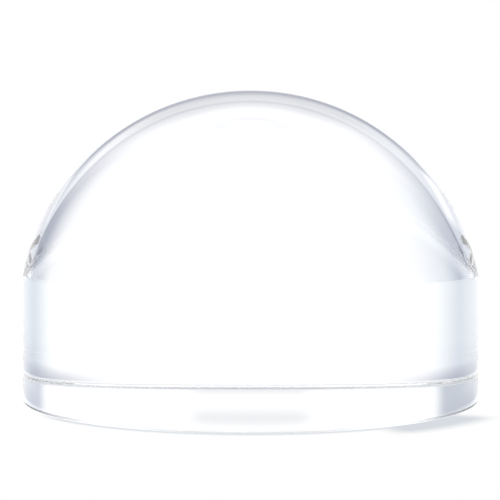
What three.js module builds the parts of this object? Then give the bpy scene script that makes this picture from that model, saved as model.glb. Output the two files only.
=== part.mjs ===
// Dome magnifier: a low vision reading aid that stands on the page and slides along it.
//
// The whole object is one piece of clear acrylic, cast and polished: a flat base, a short straight
// wall and a domed top that does the magnifying. It has no frame, handle, lamp or moving piece.
//
// Units are millimetres, +Z is up, and the origin is the centre of the base face.

import * as THREE from 'three';

// Driving dimensions
const DIAMETER = 80;          // across the straight wall
const WALL_HEIGHT = 22;       // base face to the corner where the dome begins
const DOME_RADIUS = 40.93;    // spherical radius of the top, a little more than half the diameter
const BASE_ROUND = 0.7;       // radius of the rounded edge of the base, which keeps it from chipping
const SHOULDER_BREAK = 0.25;  // polished flat that takes off the corner between wall and dome

// Facets
const SEGMENTS = 96;          // around the axis
const DOME_RINGS = 24;        // from the shoulder to the top
const ROUND_RINGS = 5;        // across the rounded base edge

const CLEAR_ACRYLIC = new THREE.MeshStandardMaterial({
  color: 0xf6f8ff,
  roughness: 0.02,
  metalness: 0,
  transparent: true,
  opacity: 0.3,
});

const radius = DIAMETER / 2;

// The dome is part of a sphere that is larger than the wall, so its centre is below the shoulder
// and its flank leans inwards from the wall by shoulderAngle.
const shoulderAngle = Math.acos(radius / DOME_RADIUS);
const sphereCentreHeight = WALL_HEIGHT - DOME_RADIUS * Math.sin(shoulderAngle);

// Point on the sphere at an angle above its centre's level, as (distance from axis, height).
function domePoint(angle) {
  return new THREE.Vector2(
    DOME_RADIUS * Math.cos(angle),
    sphereCentreHeight + DOME_RADIUS * Math.sin(angle),
  );
}

// Point on the rounded base edge, at an angle that turns from the base face (0) to the wall.
function baseEdgePoint(angle) {
  return new THREE.Vector2(
    radius - BASE_ROUND + BASE_ROUND * Math.sin(angle),
    BASE_ROUND - BASE_ROUND * Math.cos(angle),
  );
}

// Half of the lens section, from the middle of the base, round the outside, to the top.
function lensProfile() {
  const profile = [new THREE.Vector2(0, 0)];
  for (let ring = 0; ring <= ROUND_RINGS; ring++) {
    profile.push(baseEdgePoint((Math.PI / 2) * (ring / ROUND_RINGS)));
  }
  profile.push(new THREE.Vector2(radius, WALL_HEIGHT - SHOULDER_BREAK));
  const firstAngle = shoulderAngle + SHOULDER_BREAK / DOME_RADIUS;
  for (let ring = 0; ring < DOME_RINGS; ring++) {
    const angle = THREE.MathUtils.lerp(firstAngle, Math.PI / 2, ring / DOME_RINGS);
    profile.push(domePoint(angle));
  }
  profile.push(new THREE.Vector2(0, sphereCentreHeight + DOME_RADIUS));
  return profile;
}

// LatheGeometry turns its profile about Y, so the solid is tipped up to stand on Z.
function domeLens() {
  const geometry = new THREE.LatheGeometry(lensProfile(), SEGMENTS).rotateX(Math.PI / 2);
  const lens = new THREE.Mesh(geometry, CLEAR_ACRYLIC);
  lens.name = 'dome_lens';
  return lens;
}

const magnifier = new THREE.Group();
magnifier.add(domeLens());

export default magnifier;
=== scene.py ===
"""Dome magnifier: a solid clear acrylic lens standing on a white table, in a bright-field studio.

The lens is one solid of revolution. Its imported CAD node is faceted, so a fine mesh with the same
outline stands in for it here. Lengths are in metres, +Z is up, and the origin is the middle of the base.
The studio turns with the camera: an azimuth counts from the camera's heading, positive to its right.
"""

import math
from collections import namedtuple

import bmesh
import bpy
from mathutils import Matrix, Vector


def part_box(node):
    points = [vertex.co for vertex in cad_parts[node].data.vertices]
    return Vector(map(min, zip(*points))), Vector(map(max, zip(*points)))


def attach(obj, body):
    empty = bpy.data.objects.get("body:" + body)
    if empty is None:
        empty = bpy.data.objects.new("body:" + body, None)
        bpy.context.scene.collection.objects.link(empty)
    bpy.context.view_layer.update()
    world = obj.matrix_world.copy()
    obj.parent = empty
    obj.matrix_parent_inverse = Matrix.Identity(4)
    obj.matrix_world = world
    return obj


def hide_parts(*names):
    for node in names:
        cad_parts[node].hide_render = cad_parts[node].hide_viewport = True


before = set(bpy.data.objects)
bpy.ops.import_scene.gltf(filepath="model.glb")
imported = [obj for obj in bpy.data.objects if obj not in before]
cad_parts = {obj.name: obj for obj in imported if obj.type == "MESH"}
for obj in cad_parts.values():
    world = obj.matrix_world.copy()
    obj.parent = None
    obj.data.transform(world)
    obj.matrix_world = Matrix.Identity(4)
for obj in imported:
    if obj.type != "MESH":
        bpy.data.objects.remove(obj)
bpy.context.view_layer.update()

MM = 0.001

# Lens
WALL_HEIGHT = 22 * MM
BASE_ROUND = 0.7 * MM
SHOULDER_BREAK = 0.25 * MM
ACRYLIC_IOR = 1.49
ACRYLIC_TINT = (0.992, 0.996, 1.0, 1)
GROUND_ROUGHNESS = 0.55
WAVINESS = 0.0004 * MM
WAVE_LENGTH = 9 * MM
POLISH_ROUGHNESS = 0.012
TURN_STEPS = 320
DOME_STEPS = 120
BASE_RINGS = 10
ROUND_RINGS = 12
WALL_RINGS = 12
CREASE_ANGLE = math.radians(4)

# Camera: its place and aim in lens radii, its optics in millimetres
CAMERA_DISTANCE = 7.0
CAMERA_HEIGHT = 1.006
AIM_HEIGHT = 0.653
AIM_SIDE = -0.0027
FOCAL_LENGTH = 114.2
SENSOR_WIDTH = 36.0
CAMERA_CLIP = (0.01, 20)

# Bounces that a ray makes inside the lens before it is dropped
MOST_BOUNCES = 24
MOST_GLOSSY_BOUNCES = 16

# The table top lies a hair below the base, so that the two faces don't fight
TABLE_HALF = 3.0
TABLE_GAP = 0.02 * MM

# Studio colours, as linear radiance. A place of painted shade on the table gives its colour times the
# painted shade tint.
PAPER = (1.0, 1.0, 1.0, 1)
SWEEP = (1.16, 1.16, 1.16, 1)
FLAG_LEFT = (0.70, 0.74, 0.82, 1)
FLAG_RIGHT = (0.58, 0.62, 0.68, 1)
FLAG_HIGH = (0.62, 0.67, 0.73, 1)
ROOM = (0.42, 0.45, 0.58, 1)
CARD = (0.06, 0.07, 0.12, 1)
# Painted reflections of the grey flags in the glossy table: its left part, and its right part for flat and
# steep rays
PAINTED_REFLECTION_LEFT = (0.69, 0.755, 0.83, 1)
PAINTED_REFLECTION_RIGHT_FLAT = (0.73, 0.78, 0.85, 1)
PAINTED_REFLECTION_RIGHT_STEEP = (0.58, 0.66, 0.76, 1)
# Tint of the painted shade on the table
PAINTED_SHADE_TINT = (0.05, 0.06, 0.17, 1)
# Painted glow on the table under the lens rim, standing in for light the lens gathers there
PAINTED_RIM_GLOW = (1.6, 1.6, 1.6, 1)

box_low, box_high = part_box("dome_lens")
radius = (box_high.x - box_low.x) / 2
height = box_high.z - box_low.z


# ---------------------------------------------------------------- lens mesh

def dome_sphere():
    """Radius and centre height of the sphere through the shoulder circle and the top."""
    rise = height - WALL_HEIGHT
    sphere_radius = (radius**2 + rise**2) / (2 * rise)
    return sphere_radius, height - sphere_radius


def lens_profile():
    """Half section as (distance from axis, height), from the middle of the base out and up to the top."""
    sphere_radius, centre_height = dome_sphere()
    base_radius = radius - BASE_ROUND
    profile = [(base_radius * ring / BASE_RINGS, 0.0) for ring in range(BASE_RINGS)]
    for ring in range(ROUND_RINGS):
        angle = math.pi / 2 * ring / ROUND_RINGS
        distance = base_radius + BASE_ROUND * math.sin(angle)
        profile.append((distance, BASE_ROUND * (1 - math.cos(angle))))
    wall_top = WALL_HEIGHT - SHOULDER_BREAK
    for ring in range(WALL_RINGS + 1):
        profile.append((radius, BASE_ROUND + (wall_top - BASE_ROUND) * ring / WALL_RINGS))
    first_angle = math.acos(radius / sphere_radius) + SHOULDER_BREAK / sphere_radius
    for step in range(DOME_STEPS):
        angle = first_angle + (math.pi / 2 - first_angle) * step / DOME_STEPS
        level = centre_height + sphere_radius * math.sin(angle)
        profile.append((sphere_radius * math.cos(angle), level))
    profile.append((0.0, height))
    return profile


def ring_of_points(shape, distance, level):
    """Points round the axis at one height, or a single point where the profile meets the axis."""
    if distance == 0:
        return [shape.verts.new((0, 0, level))]
    points = []
    for step in range(TURN_STEPS):
        angle = 2 * math.pi * step / TURN_STEPS
        points.append(shape.verts.new((distance * math.cos(angle), distance * math.sin(angle), level)))
    return points


def turn(profile, name):
    """A closed solid of revolution about Z from a profile that starts and ends on the axis."""
    mesh = bpy.data.meshes.new(name)
    shape = bmesh.new()
    rings = [ring_of_points(shape, distance, level) for distance, level in profile]
    for below, above in zip(rings, rings[1:]):
        for step in range(TURN_STEPS):
            after = (step + 1) % TURN_STEPS
            corners = [below[step % len(below)], below[after % len(below)]]
            corners += [above[after % len(above)], above[step % len(above)]]
            shape.faces.new(list(dict.fromkeys(corners)))
    bmesh.ops.recalc_face_normals(shape, faces=shape.faces)
    for face in shape.faces:
        face.smooth = True
    for edge in shape.edges:
        edge.smooth = edge.calc_face_angle(0) < CREASE_ANGLE
    shape.to_mesh(mesh)
    shape.free()
    piece = bpy.data.objects.new(name, mesh)
    bpy.context.scene.collection.objects.link(piece)
    return piece


# ---------------------------------------------------------------- node helpers

class Wiring:
    """Short forms for the shader nodes of one node tree. A value is a socket or a number."""

    def __init__(self, tree):
        self.tree = tree

    def node(self, kind, **settings):
        node = self.tree.nodes.new(kind)
        for name, value in settings.items():
            setattr(node, name, value)
        return node

    def plug(self, socket, value):
        if isinstance(value, bpy.types.NodeSocket):
            self.tree.links.new(value, socket)
        else:
            socket.default_value = value

    def maths(self, operation, *values):
        node = self.node("ShaderNodeMath", operation=operation)
        for socket, value in zip(node.inputs, values):
            self.plug(socket, value)
        return node.outputs["Value"]

    def vector(self, operation, *values):
        node = self.node("ShaderNodeVectorMath", operation=operation)
        for socket, value in zip(node.inputs, values):
            self.plug(socket, value)
        scalar = operation in ("DOT_PRODUCT", "LENGTH")
        return node.outputs["Value" if scalar else "Vector"]

    def scaled(self, vector, factor):
        node = self.node("ShaderNodeVectorMath", operation="SCALE")
        self.plug(node.inputs["Vector"], vector)
        self.plug(node.inputs["Scale"], factor)
        return node.outputs["Vector"]

    def noise(self, place, grain):
        """Soft noise between 0 and 1 with features about this long."""
        node = self.node("ShaderNodeTexNoise")
        self.plug(node.inputs["Vector"], place)
        self.plug(node.inputs["Scale"], 1 / grain)
        return node.outputs["Fac"]

    def split(self, vector):
        node = self.node("ShaderNodeSeparateXYZ")
        self.plug(node.inputs["Vector"], vector)
        return node.outputs

    def ramp(self, value, start, end, low=0.0, high=1.0):
        """A smooth step: low up to start, high from end on."""
        node = self.node("ShaderNodeMapRange", interpolation_type="SMOOTHSTEP")
        for socket, setting in zip(node.inputs, (value, start, end, low, high)):
            self.plug(socket, setting)
        return node.outputs["Result"]

    def band(self, value, start, end, edge):
        """1 between start and end, 0 outside, with soft edges this wide."""
        rise = self.ramp(value, start - edge / 2, start + edge / 2)
        fall = self.ramp(value, end - edge / 2, end + edge / 2, 1.0, 0.0)
        return self.product(rise, fall)

    def product(self, *values):
        total = values[0]
        for value in values[1:]:
            total = self.maths("MULTIPLY", total, value)
        return total

    def flip(self, value):
        return self.maths("SUBTRACT", 1.0, value)

    def most(self, *values):
        """The largest of the values."""
        largest = values[0]
        for value in values[1:]:
            largest = self.maths("MAXIMUM", largest, value)
        return largest

    def between(self, factor, first, second):
        """The first number where the factor is 0, the second where it is 1."""
        return self.maths("ADD", self.product(self.flip(factor), first), self.product(factor, second))

    def blend(self, factor, first, second):
        """The first colour where the factor is 0, the second where it is 1."""
        node = self.node("ShaderNodeMixRGB")
        self.plug(node.inputs["Fac"], factor)
        self.plug(node.inputs["Color1"], first)
        self.plug(node.inputs["Color2"], second)
        return node.outputs["Color"]


# ---------------------------------------------------------------- acrylic

# Heights of the ground band on the base edge
GROUND_FROM = 0.2 * BASE_ROUND
GROUND_TO = 0.9 * BASE_ROUND
GROUND_EDGE = 0.1 * BASE_ROUND

# Size of the polishing marks, and the noise values at which a mark starts and is at its roughest
POLISH_GRAIN = 0.4 * MM
POLISH_MARK_START = 0.62
POLISH_MARK_FULL = 0.80


def clear_acrylic():
    """Polished acrylic: faintly blue, slightly wavy from polishing, with a ground band on the base edge."""
    material = bpy.data.materials.new("clear_acrylic")
    material.use_nodes = True
    wires = Wiring(material.node_tree)
    surface = material.node_tree.nodes["Principled BSDF"]
    surface.inputs["Base Color"].default_value = ACRYLIC_TINT
    surface.inputs["IOR"].default_value = ACRYLIC_IOR
    surface.inputs["Transmission Weight"].default_value = 1.0

    place = wires.node("ShaderNodeNewGeometry").outputs["Position"]
    level = wires.split(place)["Z"]
    ground = wires.band(level, GROUND_FROM, GROUND_TO, GROUND_EDGE)
    polish = wires.noise(place, POLISH_GRAIN)
    marks = wires.ramp(polish, POLISH_MARK_START, POLISH_MARK_FULL, 0.0, POLISH_ROUGHNESS)
    wires.plug(surface.inputs["Roughness"], wires.most(marks, wires.product(ground, GROUND_ROUGHNESS)))

    bump = wires.node("ShaderNodeBump")
    wires.plug(bump.inputs["Height"], wires.noise(place, WAVE_LENGTH))
    wires.plug(bump.inputs["Distance"], WAVINESS)
    wires.plug(surface.inputs["Normal"], bump.outputs["Normal"])
    return material


# ---------------------------------------------------------------- room light

# Angles are in degrees. A span is (start, end), and a band is (start, end, softness of its edges).
# The lens turns the view round, so what stands to the left of the camera shows at the right of the lens.
# LEFT and RIGHT in the names of lights say where they show.

LEVEL_TO_STEEP_TILT = (5, 14)
SWEEP_BAND = (-38, 50, 8)
RIGHT_TO_LEFT = (-10, 10)
LOW_TO_HIGH_FLAG = (8, 40)
BESIDE_TO_BEHIND = (85, 115)

# A card hides part of the sweep, alike on both sides, and thins out sideways over its fade. The height of
# the low and high cards is an elevation, and that of the arch an angle from straight ahead.
Card = namedtuple("Card", "strength fade height")
LOW_CARD = Card(strength=0.24, fade=(6, 11), height=(8.6, 14, 0.8))
HIGH_CARD = Card(strength=0.88, fade=(14, 32), height=(24, 47, 10))
ARCH_CARD = Card(strength=0.56, fade=(20, 24), height=(13, 23, 5))
ARCH_FOOT = (10, 12)


def from_camera(wires, axis):
    """World direction of one of the camera's own axes."""
    node = wires.node("ShaderNodeVectorTransform", vector_type="VECTOR")
    node.convert_from = "CAMERA"
    node.convert_to = "WORLD"
    wires.plug(node.inputs["Vector"], axis)
    return wires.vector("NORMALIZE", node.outputs["Vector"])


def camera_axes(wires):
    """Level unit vectors to the camera's right and straight ahead of it."""
    right = from_camera(wires, (1, 0, 0))
    ahead = wires.vector("CROSS_PRODUCT", (0, 0, 1), right)
    return right, ahead


def azimuth_of(wires, vector):
    """Azimuth of a vector from the camera's heading, in degrees."""
    right, ahead = camera_axes(wires)
    across = wires.vector("DOT_PRODUCT", vector, right)
    along = wires.vector("DOT_PRODUCT", vector, ahead)
    return wires.maths("DEGREES", wires.maths("ARCTAN2", across, along))


def elevation_of(wires, direction):
    return wires.maths("DEGREES", wires.maths("ARCSINE", wires.split(direction)["Z"]))


def low_view(wires):
    """1 while the camera is nearly level, fading to 0 as it looks down more steeply."""
    tilt = wires.maths("ABSOLUTE", elevation_of(wires, from_camera(wires, (0, 0, 1))))
    return wires.ramp(tilt, *LEVEL_TO_STEEP_TILT, 1, 0)


def angle_from_ahead(wires, direction):
    ahead = camera_axes(wires)[1]
    return wires.maths("DEGREES", wires.maths("ARCCOSINE", wires.vector("DOT_PRODUCT", direction, ahead)))


def card_cover(wires, card, side, height):
    """How much of the light a card hides, from 0 to 1."""
    across = wires.ramp(side, *card.fade, card.strength, 0)
    return wires.product(across, wires.band(height, *card.height))


def room_light(wires, direction):
    """Light from above the table: a white sweep ahead with grey cards before it, grey flags beside it
    and a dim room behind the camera."""
    azimuth = azimuth_of(wires, direction)
    side = wires.maths("ABSOLUTE", azimuth)
    elevation = elevation_of(wires, direction)
    flags = wires.blend(wires.ramp(azimuth, *RIGHT_TO_LEFT), FLAG_RIGHT, FLAG_LEFT)
    flags = wires.blend(wires.ramp(elevation, *LOW_TO_HIGH_FLAG), flags, FLAG_HIGH)
    behind = wires.blend(low_view(wires), FLAG_HIGH, ROOM)
    flags = wires.blend(wires.ramp(side, *BESIDE_TO_BEHIND), flags, behind)
    light = wires.blend(wires.band(azimuth, *SWEEP_BAND), flags, SWEEP)

    low_card = card_cover(wires, LOW_CARD, side, elevation)
    high_card = card_cover(wires, HIGH_CARD, side, elevation)
    arch = card_cover(wires, ARCH_CARD, side, angle_from_ahead(wires, direction))
    arch = wires.product(arch, wires.ramp(elevation, *ARCH_FOOT))
    cards = wires.product(wires.most(low_card, high_card, arch), low_view(wires))
    return wires.blend(cards, light, CARD)


# ---------------------------------------------------------------- table light

# The table is an emitter, no lamp. Every shadow, shade ring, sheen, glint, reflection and glow on it below
# is painted light or painted shade.
# Distances here are in millimetres. The depth of a ray is how steeply it runs down, in degrees.
FLAT_TO_STEEP = (8, 14)

# A painted shadow ring on the table, the dark edge of the lens's shadow, and a painted shade tail that
# fades outwards from it.
# Both are fainter straight ahead, and the tail is widest and strongest at the sides. The ring's own spans
# count from its radius.
RING_RADIUS = 58.8
RING_SHIFT = -5.5 * MM
RING_INNER_EDGE = (-1.5, 0)
RING_FADE = (0, 2)
RING_AHEAD = 0.12
RING_BESIDE = 0.90
AHEAD_TO_BESIDE = (12, 22)
TAIL_WIDTH = 6.0
TAIL_GROWTH = 0.9
TAIL_FULL_WIDTH_AT = 40.0
TAIL_RISE = (0, 20)
TAIL_AHEAD = 0.08
TAIL_RIGHT = 0.40
TAIL_LEFT = 0.60

# Painted contact shadow: the table is dark close to the lens and opens up further out, a little more when
# far away. Raised views leave out most of the painted shadow. Flat rays see a softer painted shadow, and a
# painted sheen hides it straight ahead.
CONTACT_FADE = (49.5, 53.2)
CONTACT_AHEAD = 0.36
CONTACT_BESIDE = 0.24
OPEN_AHEAD = 0.86
OPEN_BESIDE = 0.90
FAR_FADE = (58, 68)
FAR_GAIN = 0.09
HIGH_VIEW_LEAST = 0.66
FLAT_FADE = (42, 60)
FLAT_CONTACT = 0.55
SHEEN_FADE = (18, 44)
SHEEN = 0.8

# Azimuths over which the painted reflection on the table turns from the white sweep to the grey flags of
# its left and right parts. The painted grey of the right part is weaker for the deepest rays, and painted
# glints cut into both parts.
FLAT_TO_LEFT = (39, 60)
STEEP_TO_LEFT = (45, 68)
FLAT_TO_RIGHT = (-52, -29)
STEEP_TO_RIGHT = (-66, -22)
RIGHT_DEEP_FADE = (20, 32)
RIGHT_DEEP = 0.62
GLINT_RIGHT = (-62, -54)
GLINT_LEFT = (64, 70)
GLINT_DEPTHS = (25, 37, 4)

# Under the lens the table has a painted glow for a level camera, and for a raised one painted shade greys
# it towards the rim.
UNDER_LENS_FADE = (8, 41)
UNDER_LENS_EDGE = (41.4, 43.5)

# What the camera sees of the table beside the lens: azimuths of the painted shadow and of the front, and
# how far out from the axis the painted shadow and the painted contact shadow line reach
SHADOW_BAND = (121, 149, 8)
SHADOW_FADE = (43, 48)
SHADOW = 0.75
FRONT = (118, 132)
CONTACT_SHADOW_LINE_FADE = (40, 41.5)
CONTACT_SHADOW_LINE = 0.6


def reach_of(wires, place):
    """Distance of a place on the table from the lens axis, in millimetres."""
    return wires.maths("DIVIDE", wires.vector("LENGTH", place), MM)


def painted_shadow_ring_and_tail(wires, place):
    """How much of the light the painted shadow ring and its painted shade tail take, from 0 to 1 each."""
    round_table = azimuth_of(wires, place)
    around = wires.maths("ABSOLUTE", round_table)
    centre = wires.scaled(camera_axes(wires)[0], RING_SHIFT)
    reach = reach_of(wires, wires.vector("SUBTRACT", place, centre))
    beyond = wires.maths("SUBTRACT", reach, RING_RADIUS)
    outside = wires.ramp(beyond, *RING_INNER_EDGE)
    strength = wires.between(wires.ramp(around, *AHEAD_TO_BESIDE), RING_AHEAD, RING_BESIDE)
    ring = wires.product(outside, wires.ramp(beyond, *RING_FADE, 1, 0), strength)

    growth = wires.product(wires.maths("MINIMUM", around, TAIL_FULL_WIDTH_AT), TAIL_GROWTH)
    width = wires.maths("ADD", TAIL_WIDTH, growth)
    painted_shade_tail = wires.ramp(wires.maths("DIVIDE", beyond, width), 0, 1, 1, 0)
    painted_shade_tail = wires.product(outside, painted_shade_tail, wires.ramp(around, *TAIL_RISE, TAIL_AHEAD, 1.0))
    painted_shade_tail = wires.product(painted_shade_tail, wires.ramp(round_table, *RIGHT_TO_LEFT, TAIL_RIGHT, TAIL_LEFT))
    return ring, painted_shade_tail


def painted_table_shade(wires, place, depth, side):
    """How much of its light a place on the table gives under painted shade, from 0 to 1. Depth is the
    steepness of the ray.
    """
    reach = reach_of(wires, place)
    beside = wires.ramp(wires.maths("ABSOLUTE", azimuth_of(wires, place)), *AHEAD_TO_BESIDE)
    near = wires.between(beside, CONTACT_AHEAD, CONTACT_BESIDE)
    contact_shadow = wires.ramp(reach, *CONTACT_FADE, near, wires.between(beside, OPEN_AHEAD, OPEN_BESIDE))
    contact_shadow = wires.maths("ADD", contact_shadow, wires.ramp(reach, *FAR_FADE, 0, FAR_GAIN))
    contact_shadow = wires.between(low_view(wires), wires.most(contact_shadow, HIGH_VIEW_LEAST), contact_shadow)
    ring, painted_shade_tail = painted_shadow_ring_and_tail(wires, place)
    steep_shade = wires.product(contact_shadow, wires.flip(ring), wires.flip(painted_shade_tail))

    sheen = wires.ramp(side, *SHEEN_FADE, SHEEN, 0)
    flat_shade = wires.between(sheen, wires.ramp(reach, *FLAT_FADE, FLAT_CONTACT, 1.0), 1.0)
    return wires.between(wires.ramp(depth, *FLAT_TO_STEEP), flat_shade, steep_shade)


def painted_table_reflection(wires, azimuth, depth):
    """Painted reflection of the studio in the open table: the white sweep ahead, turning to the pale blue
    grey flags on both sides.
    """
    steep = wires.ramp(depth, *FLAT_TO_STEEP)
    flat_left = wires.ramp(azimuth, *FLAT_TO_LEFT)
    to_left = wires.between(steep, flat_left, wires.ramp(azimuth, *STEEP_TO_LEFT))
    steep_right = wires.ramp(azimuth, *STEEP_TO_RIGHT, 1, 0)
    steep_right = wires.product(steep_right, wires.ramp(depth, *RIGHT_DEEP_FADE, 1, RIGHT_DEEP))
    to_right = wires.between(steep, wires.ramp(azimuth, *FLAT_TO_RIGHT, 1, 0), steep_right)
    light = wires.blend(to_left, SWEEP, PAINTED_REFLECTION_LEFT)
    return wires.blend(to_right, light, wires.blend(steep, PAINTED_REFLECTION_RIGHT_FLAT, PAINTED_REFLECTION_RIGHT_STEEP))


def table_light(wires, place, direction):
    """Light that reaches the lens from a place on the table, travelling against this direction. All of it
    is painted: reflections of the studio, painted shade, painted glints and a painted glow under the lens.
    """
    azimuth = azimuth_of(wires, direction)
    side = wires.maths("ABSOLUTE", azimuth)
    depth = wires.maths("MULTIPLY", elevation_of(wires, direction), -1.0)
    light = painted_table_reflection(wires, azimuth, depth)
    # Painted shade: the light times the painted shade tint
    painted_shade_colour = wires.vector("MULTIPLY", light, PAINTED_SHADE_TINT[:3])
    light = wires.blend(painted_table_shade(wires, place, depth, side), painted_shade_colour, light)

    # Painted glints: the sweep's white laid over the table at these azimuths and depths
    glint = wires.most(wires.ramp(azimuth, *GLINT_RIGHT, 1, 0), wires.ramp(azimuth, *GLINT_LEFT))
    light = wires.blend(wires.product(glint, wires.band(depth, *GLINT_DEPTHS)), light, SWEEP)
    reach = reach_of(wires, place)
    # Painted shade under the lens for a raised camera, grey towards the rim, and a painted glow under the
    # rim for a level one
    under_lens = wires.blend(wires.ramp(reach, *UNDER_LENS_FADE), PAPER, FLAG_LEFT)
    under_lens = wires.blend(low_view(wires), under_lens, PAINTED_RIM_GLOW)
    return wires.blend(wires.ramp(reach, *UNDER_LENS_EDGE, 1, 0), light, under_lens)


def table_seen(wires, place):
    """The table as the camera sees it directly: white, with a painted pale shadow at the front right of the
    lens and a fine painted contact shadow line along its front."""
    reach = reach_of(wires, place)
    azimuth = azimuth_of(wires, place)
    painted_shadow = wires.product(wires.band(azimuth, *SHADOW_BAND), wires.ramp(reach, *SHADOW_FADE, SHADOW, 0))
    front = wires.ramp(wires.maths("ABSOLUTE", azimuth), *FRONT)
    contact_shadow = wires.product(front, wires.ramp(reach, *CONTACT_SHADOW_LINE_FADE, CONTACT_SHADOW_LINE, 0))
    # The painted shadow and the painted contact shadow line take the right flag's grey
    return wires.blend(wires.most(painted_shadow, contact_shadow), PAPER, FLAG_RIGHT)


def white_table():
    material = bpy.data.materials.new("white_table")
    material.use_nodes = True
    nodes = material.node_tree.nodes
    nodes.remove(nodes["Principled BSDF"])
    wires = Wiring(material.node_tree)
    surroundings = wires.node("ShaderNodeNewGeometry")
    place = surroundings.outputs["Position"]
    direction = wires.vector("MULTIPLY", surroundings.outputs["Incoming"], (-1, -1, -1))
    seen = wires.node("ShaderNodeLightPath").outputs["Is Camera Ray"]
    # The table emits its colour: painted light and painted shade for rays from the lens, and white with a
    # painted shadow for the camera.
    painted_light = wires.node("ShaderNodeEmission")
    colour = wires.blend(seen, table_light(wires, place, direction), table_seen(wires, place))
    wires.plug(painted_light.inputs["Color"], colour)
    wires.plug(nodes["Material Output"].inputs["Surface"], painted_light.outputs["Emission"])
    return material


# ---------------------------------------------------------------- stage

def table():
    mesh = bpy.data.meshes.new("table")
    half = TABLE_HALF
    corners = [(-half, -half, 0), (half, -half, 0), (half, half, 0), (-half, half, 0)]
    mesh.from_pydata(corners, [], [(0, 1, 2, 3)])
    floor = bpy.data.objects.new("table", mesh)
    floor.location.z = -TABLE_GAP
    bpy.context.scene.collection.objects.link(floor)
    mesh.materials.append(white_table())


def studio():
    world = bpy.data.worlds.new("studio")
    bpy.context.scene.world = world
    world.use_nodes = True
    wires = Wiring(world.node_tree)
    direction = wires.node("ShaderNodeTexCoord").outputs["Generated"]
    seen = wires.node("ShaderNodeLightPath").outputs["Is Camera Ray"]
    background = world.node_tree.nodes["Background"]
    wires.plug(background.inputs["Color"], wires.blend(seen, room_light(wires, direction), PAPER))


def camera():
    data = bpy.data.cameras.new("camera")
    data.sensor_width = SENSOR_WIDTH
    data.lens = FOCAL_LENGTH
    data.clip_start, data.clip_end = CAMERA_CLIP
    holder = bpy.data.objects.new("camera", data)
    holder.location = (0, -CAMERA_DISTANCE * radius, CAMERA_HEIGHT * radius)
    aim = Vector((AIM_SIDE * radius, 0, AIM_HEIGHT * radius))
    holder.rotation_mode = "QUATERNION"
    holder.rotation_quaternion = (aim - holder.location).to_track_quat("-Z", "Y")
    bpy.context.scene.collection.objects.link(holder)
    bpy.context.scene.camera = holder


lens = turn(lens_profile(), "dome_magnifier_lens")
lens.data.materials.append(clear_acrylic())
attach(lens, "root")
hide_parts("dome_lens")
table()
studio()
camera()

scene = bpy.context.scene
scene.view_settings.view_transform = "Standard"
scene.cycles.max_bounces = MOST_BOUNCES
scene.cycles.transmission_bounces = MOST_BOUNCES
scene.cycles.glossy_bounces = MOST_GLOSSY_BOUNCES
